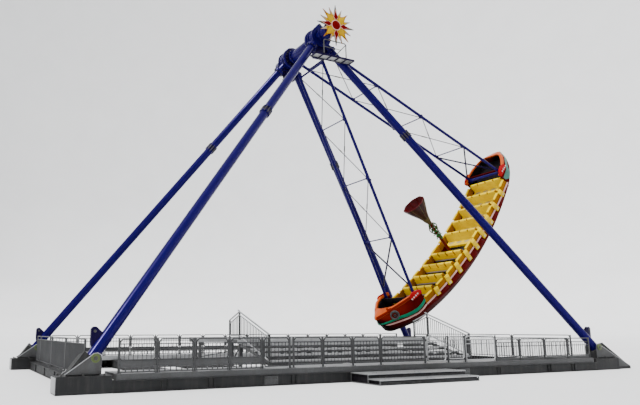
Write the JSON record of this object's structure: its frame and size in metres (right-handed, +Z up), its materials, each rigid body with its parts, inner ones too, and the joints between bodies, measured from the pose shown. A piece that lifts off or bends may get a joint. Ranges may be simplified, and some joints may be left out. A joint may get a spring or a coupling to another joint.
{
  "type": "pirate ship ride",
  "caption": "Swinging pirate ship fairground ride with leg frames, hung ship with benches, base, walkways, fences and stairs.",
  "frame": {"origin": "on the ground under the middle of the axle", "axes": "+Z up, +X along the front in the swing direction, +Y along the axle away from the front"},
  "size_m": [20.5117, 11.9, 13.29],
  "materials": {
    "blue_paint": "gloss",
    "grey_steel": "satin",
    "galvanised_steel": "satin",
    "red_paint": "gloss",
    "orange_paint": "gloss",
    "yellow_paint": "gloss"
  },
  "bodies": {
    "base": {"axle": "blue_paint", "back_beam": "grey_steel", "back_fence": "galvanised_steel", "back_platform": "grey_steel", "back_walkway": "grey_steel", "catwalk": "grey_steel", "catwalk_rail": "galvanised_steel", "cross_beam_1": "grey_steel", "cross_beam_2": "grey_steel", "cross_beam_3": "grey_steel", "cross_beam_4": "grey_steel", "cross_beam_5": "grey_steel", "entry_steps": "grey_steel", "foot_back_left": "grey_steel", "foot_back_right": "grey_steel", "foot_front_left": "grey_steel", "foot_front_right": "grey_steel", "front_beam": "grey_steel", "front_fence_left": "galvanised_steel", "front_fence_middle": "galvanised_steel", "front_fence_right": "galvanised_steel", "front_platform": "grey_steel", "front_walkway": "grey_steel", "head_back": "blue_paint", "head_front": "blue_paint", "left_beam": "grey_steel", "left_fence": "galvanised_steel", "leg_back_left": "blue_paint", "leg_back_right": "blue_paint", "leg_front_left": "blue_paint", "leg_front_right": "blue_paint", "right_beam": "grey_steel", "right_fence": "galvanised_steel", "stair_panel_left": "galvanised_steel", "stair_panel_right": "galvanised_steel", "stairs": "grey_steel", "sun": "yellow_paint"},
    "ship": {"arm_left_back": "blue_paint", "arm_left_front": "blue_paint", "arm_right_back": "blue_paint", "arm_right_front": "blue_paint", "basket": "red_paint", "benches_bow": "yellow_paint", "benches_stern": "yellow_paint", "bow_rim": "orange_paint", "bracing_left": "blue_paint", "bracing_right": "blue_paint", "cross_tube_left": "blue_paint", "cross_tube_right": "blue_paint", "hub_back": "blue_paint", "hub_front": "blue_paint", "hull": "red_paint", "mast": "red_paint", "side_panel_back": "yellow_paint", "side_panel_front": "yellow_paint", "stern_rim": "orange_paint"},
    "gate": {"gate": "galvanised_steel"}
  },
  "joints": [
    {"name": "ship_swing", "type": "hinge", "parent": "base", "child": "ship", "pos_m": [0, 0, 12.47], "axis": [0, 1, 0], "range_deg": [-14.6, 105.4]},
    {"name": "gate_hinge", "type": "hinge", "parent": "base", "child": "gate", "pos_m": [0.89, -5.2, 0.42], "axis": [0, 0, 1], "range_deg": [0, 90]}
  ]
}
